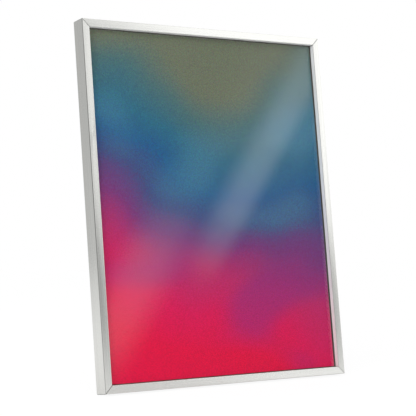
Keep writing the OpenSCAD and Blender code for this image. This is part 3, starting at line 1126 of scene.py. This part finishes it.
# What the glass mirrors: the strength of the dark room, and each strip of light in it with its
# strength, its start and end, and where it is full and ends on its right and on its left
GLASS_ROOM = 0.06
GLASS_STRIPS = [
    (1.15, (34.9, 10.3), (40.9, 17.9), (0.2, 1.05), (0.05, 1.2)),
    (0.26, (36.5, 12.3), (44.5, 22.5), (1.0, 3.0), (1.2, 3.6)),
    (0.62, (29.9, 6.2), (34.1, 11.9), (-0.35, 1.3), (0.6, 2.2)),
]
# Where along a strip its light is full and where it is gone, as shares of its half length
STRIP_FULL = 0.25
STRIP_GONE = 1.4


def sin_of(degrees):
    return math.sin(math.radians(degrees))


def cos_of(degrees):
    return math.cos(math.radians(degrees))


def toward(azimuth, elevation):
    """Direction of a point round the object: azimuth 0 is in front of it and 90 on its right."""
    a, e = math.radians(azimuth), math.radians(elevation)
    return Vector((math.sin(a) * math.cos(e), -math.cos(a) * math.cos(e), math.sin(e)))


class Sky(Board):
    """The light of the studio by direction."""

    def __init__(self, tree):
        super().__init__(tree)
        tree.nodes.clear()
        self.ray = self.node("ShaderNodeTexCoord", output="Generated")
        self.height = self.xyz(self.ray)[2]

    def along(self, direction):
        """How much a ray runs along a direction."""
        inputs = {0: self.ray, 1: direction}
        return self.node("ShaderNodeVectorMath", {"operation": "DOT_PRODUCT"}, inputs, "Value")

    def lit(self, azimuth, elevation, radius, soft):
        """1 within radius of a direction, fading over soft more."""
        near = self.along(toward(azimuth, elevation))
        return self.step(near, cos_of(radius + soft), cos_of(radius))

    def rise(self, low, high):
        """0 at one elevation and 1 at another."""
        return self.step(self.height, sin_of(low), sin_of(high))

    def above(self, start, end):
        """Sine of the angle above the great circle through two directions."""
        return self.along(toward(*start).cross(toward(*end)).normalized())

    def strip(self, start, end, right, left):
        """A strip of light between two directions, full and gone at two angles on each side."""
        first, last = toward(*start), toward(*end)
        middle = (first + last).normalized()
        reach = math.degrees(first.angle(last)) / 2
        off = self.above(start, end)
        (full_right, end_right), (full_left, end_left) = [
            [sin_of(angle) for angle in side] for side in (right, left)
        ]
        band = self.step(off, -end_right, -full_right) * self.step(off, end_left, full_left)
        full, gone = cos_of(reach * STRIP_FULL), cos_of(reach * STRIP_GONE)
        return band * self.step(self.along(middle), gone, full)

    def dado(self):
        """1 on the dado, and 0 under and over it."""
        height = self.above(*DADO_LINE)
        under, over = [[sin_of(angle) for angle in side] for side in (DADO_UNDER, DADO_OVER)]
        return self.step(height, *under) * self.step(height, *over)

    def in_metal(self):
        """Grey walls with a dado in front, a window on the right, two lamps, and a pale floor."""
        front, window = self.lit(*FRONT), self.lit(*WINDOW)
        wall = WALL_GREY + FRONT_MORE * front
        wall = wall * (1.0 - DADO_LESS * self.dado() * front) * (1.0 + WINDOW_MORE * window)
        lamps = HIGH_LAMP_LIGHT * self.lit(*HIGH_LAMP) + LOW_LAMP_LIGHT * self.lit(*LOW_LAMP)
        ground = FLOOR_LIGHT * self.rise(*FLOOR_BAND)
        ground = ground + FRONT_LIGHT * front * self.rise(*FRONT_BAND) * (1.0 - window)
        return (wall + lamps) * (1.0 - LEFT_LESS * self.lit(*DARK_LEFT)) + ground

    def in_glass(self):
        """A dark room with strips of light: a bright one, the haze round it, and a fainter one."""
        light = GLASS_ROOM
        for strength, *shape in GLASS_STRIPS:
            light = light + strength * self.strip(*shape)
        return light


def studio_world():
    """A white room for the eye, and what the metal and the glass mirror of it."""
    world = bpy.data.worlds.new("studio")
    bpy.context.scene.world = world
    world.use_nodes = True
    world.cycles.sampling_method = "NONE"
    sky = Sky(world.node_tree)
    camera, glossy, sharp, through = [
        sky.node("ShaderNodeLightPath", output=f"Is {kind} Ray")
        for kind in ("Camera", "Glossy", "Singular", "Transmission")
    ]
    mirrored = sky.in_metal() * (1.0 - sharp) + sky.in_glass() * sharp
    seen = camera.most(through)
    light = seen + (1.0 - seen) * (ROOM + (mirrored - ROOM) * glossy)
    background = sky.node("ShaderNodeBackground", {}, {"Color": WHITE, "Strength": light})
    sky.node("ShaderNodeOutputWorld", {}, {"Surface": background})


# Half width of the floor in metres, its white for the eye, how much of that white covers its own
# shade, and its strength in the glass
FLOOR_REACH = 3
FLOOR_WHITE = 1.035
FLOOR_SHOWN = 0.9
FLOOR_IN_GLASS = 0.12


def floor():
    """Pale floor that keeps the object's shadow and is white to the eye."""
    mesh = bmesh.new()
    bmesh.ops.create_grid(mesh, x_segments=1, y_segments=1, size=FLOOR_REACH)
    data = bpy.data.meshes.new("floor")
    mesh.to_mesh(data)
    mesh.free()
    item = linked("floor", data)
    finish = Finish("pale_floor", Roughness=0.9, **{"Base Color": FLOOR_GREY})
    white = finish.node("ShaderNodeEmission", {}, {"Strength": FLOOR_WHITE})
    dim = finish.node("ShaderNodeEmission", {}, {"Strength": FLOOR_IN_GLASS})
    camera = finish.node("ShaderNodeLightPath", output="Is Camera Ray")
    sharp = finish.node("ShaderNodeLightPath", output="Is Singular Ray")
    shown = finish.node(
        "ShaderNodeMixShader", {}, {0: camera * FLOOR_SHOWN, 1: finish.body, 2: white}
    )
    finish.surface(finish.node("ShaderNodeMixShader", {}, {0: sharp, 1: shown, 2: dim}))
    data.materials.append(finish.material)


def lamp(name, azimuth, elevation, distance, size, power):
    """Soft lamp that lights the object but isn't mirrored in it."""
    light = bpy.data.lights.new(name, "AREA")
    light.size = size
    light.energy = power
    item = linked(name, light)
    direction = toward(azimuth, elevation)
    item.location = (cad_low + cad_high) / 2 + direction * distance
    item.rotation_mode = "QUATERNION"
    item.rotation_quaternion = (-direction).to_track_quat("-Z", "Y")
    item.visible_camera = False
    item.visible_glossy = False


# The camera's place in metres, its turns, its lens in millimetres, and its nearest view in metres
CAMERA_AT = (-1.1172, -1.6342, 0.2576)
CAMERA_HEADING = math.radians(34.16)
CAMERA_PITCH = math.radians(-0.20)
CAMERA_ROLL = math.radians(0.0945)
CAMERA_LENS = 118.81
CAMERA_NEAR = 0.05


def photo_camera():
    """The camera at the photograph's place, level but for a fifth of a degree."""
    data = bpy.data.cameras.new("photo_camera")
    data.lens = CAMERA_LENS
    data.clip_start = CAMERA_NEAR
    item = linked("photo_camera", data)
    item.matrix_world = (
        Matrix.Translation(CAMERA_AT)
        @ Matrix.Rotation(-CAMERA_HEADING, 4, "Z")
        @ Matrix.Rotation(math.pi / 2 + CAMERA_PITCH, 4, "X")
        @ Matrix.Rotation(CAMERA_ROLL, 4, "Z")
    )
    bpy.context.scene.camera = item


studio_world()
floor()
lamp("key_lamp", azimuth=-62, elevation=28, distance=2.4, size=1.4, power=30)
photo_camera()
bpy.context.scene.view_settings.view_transform = "Standard"
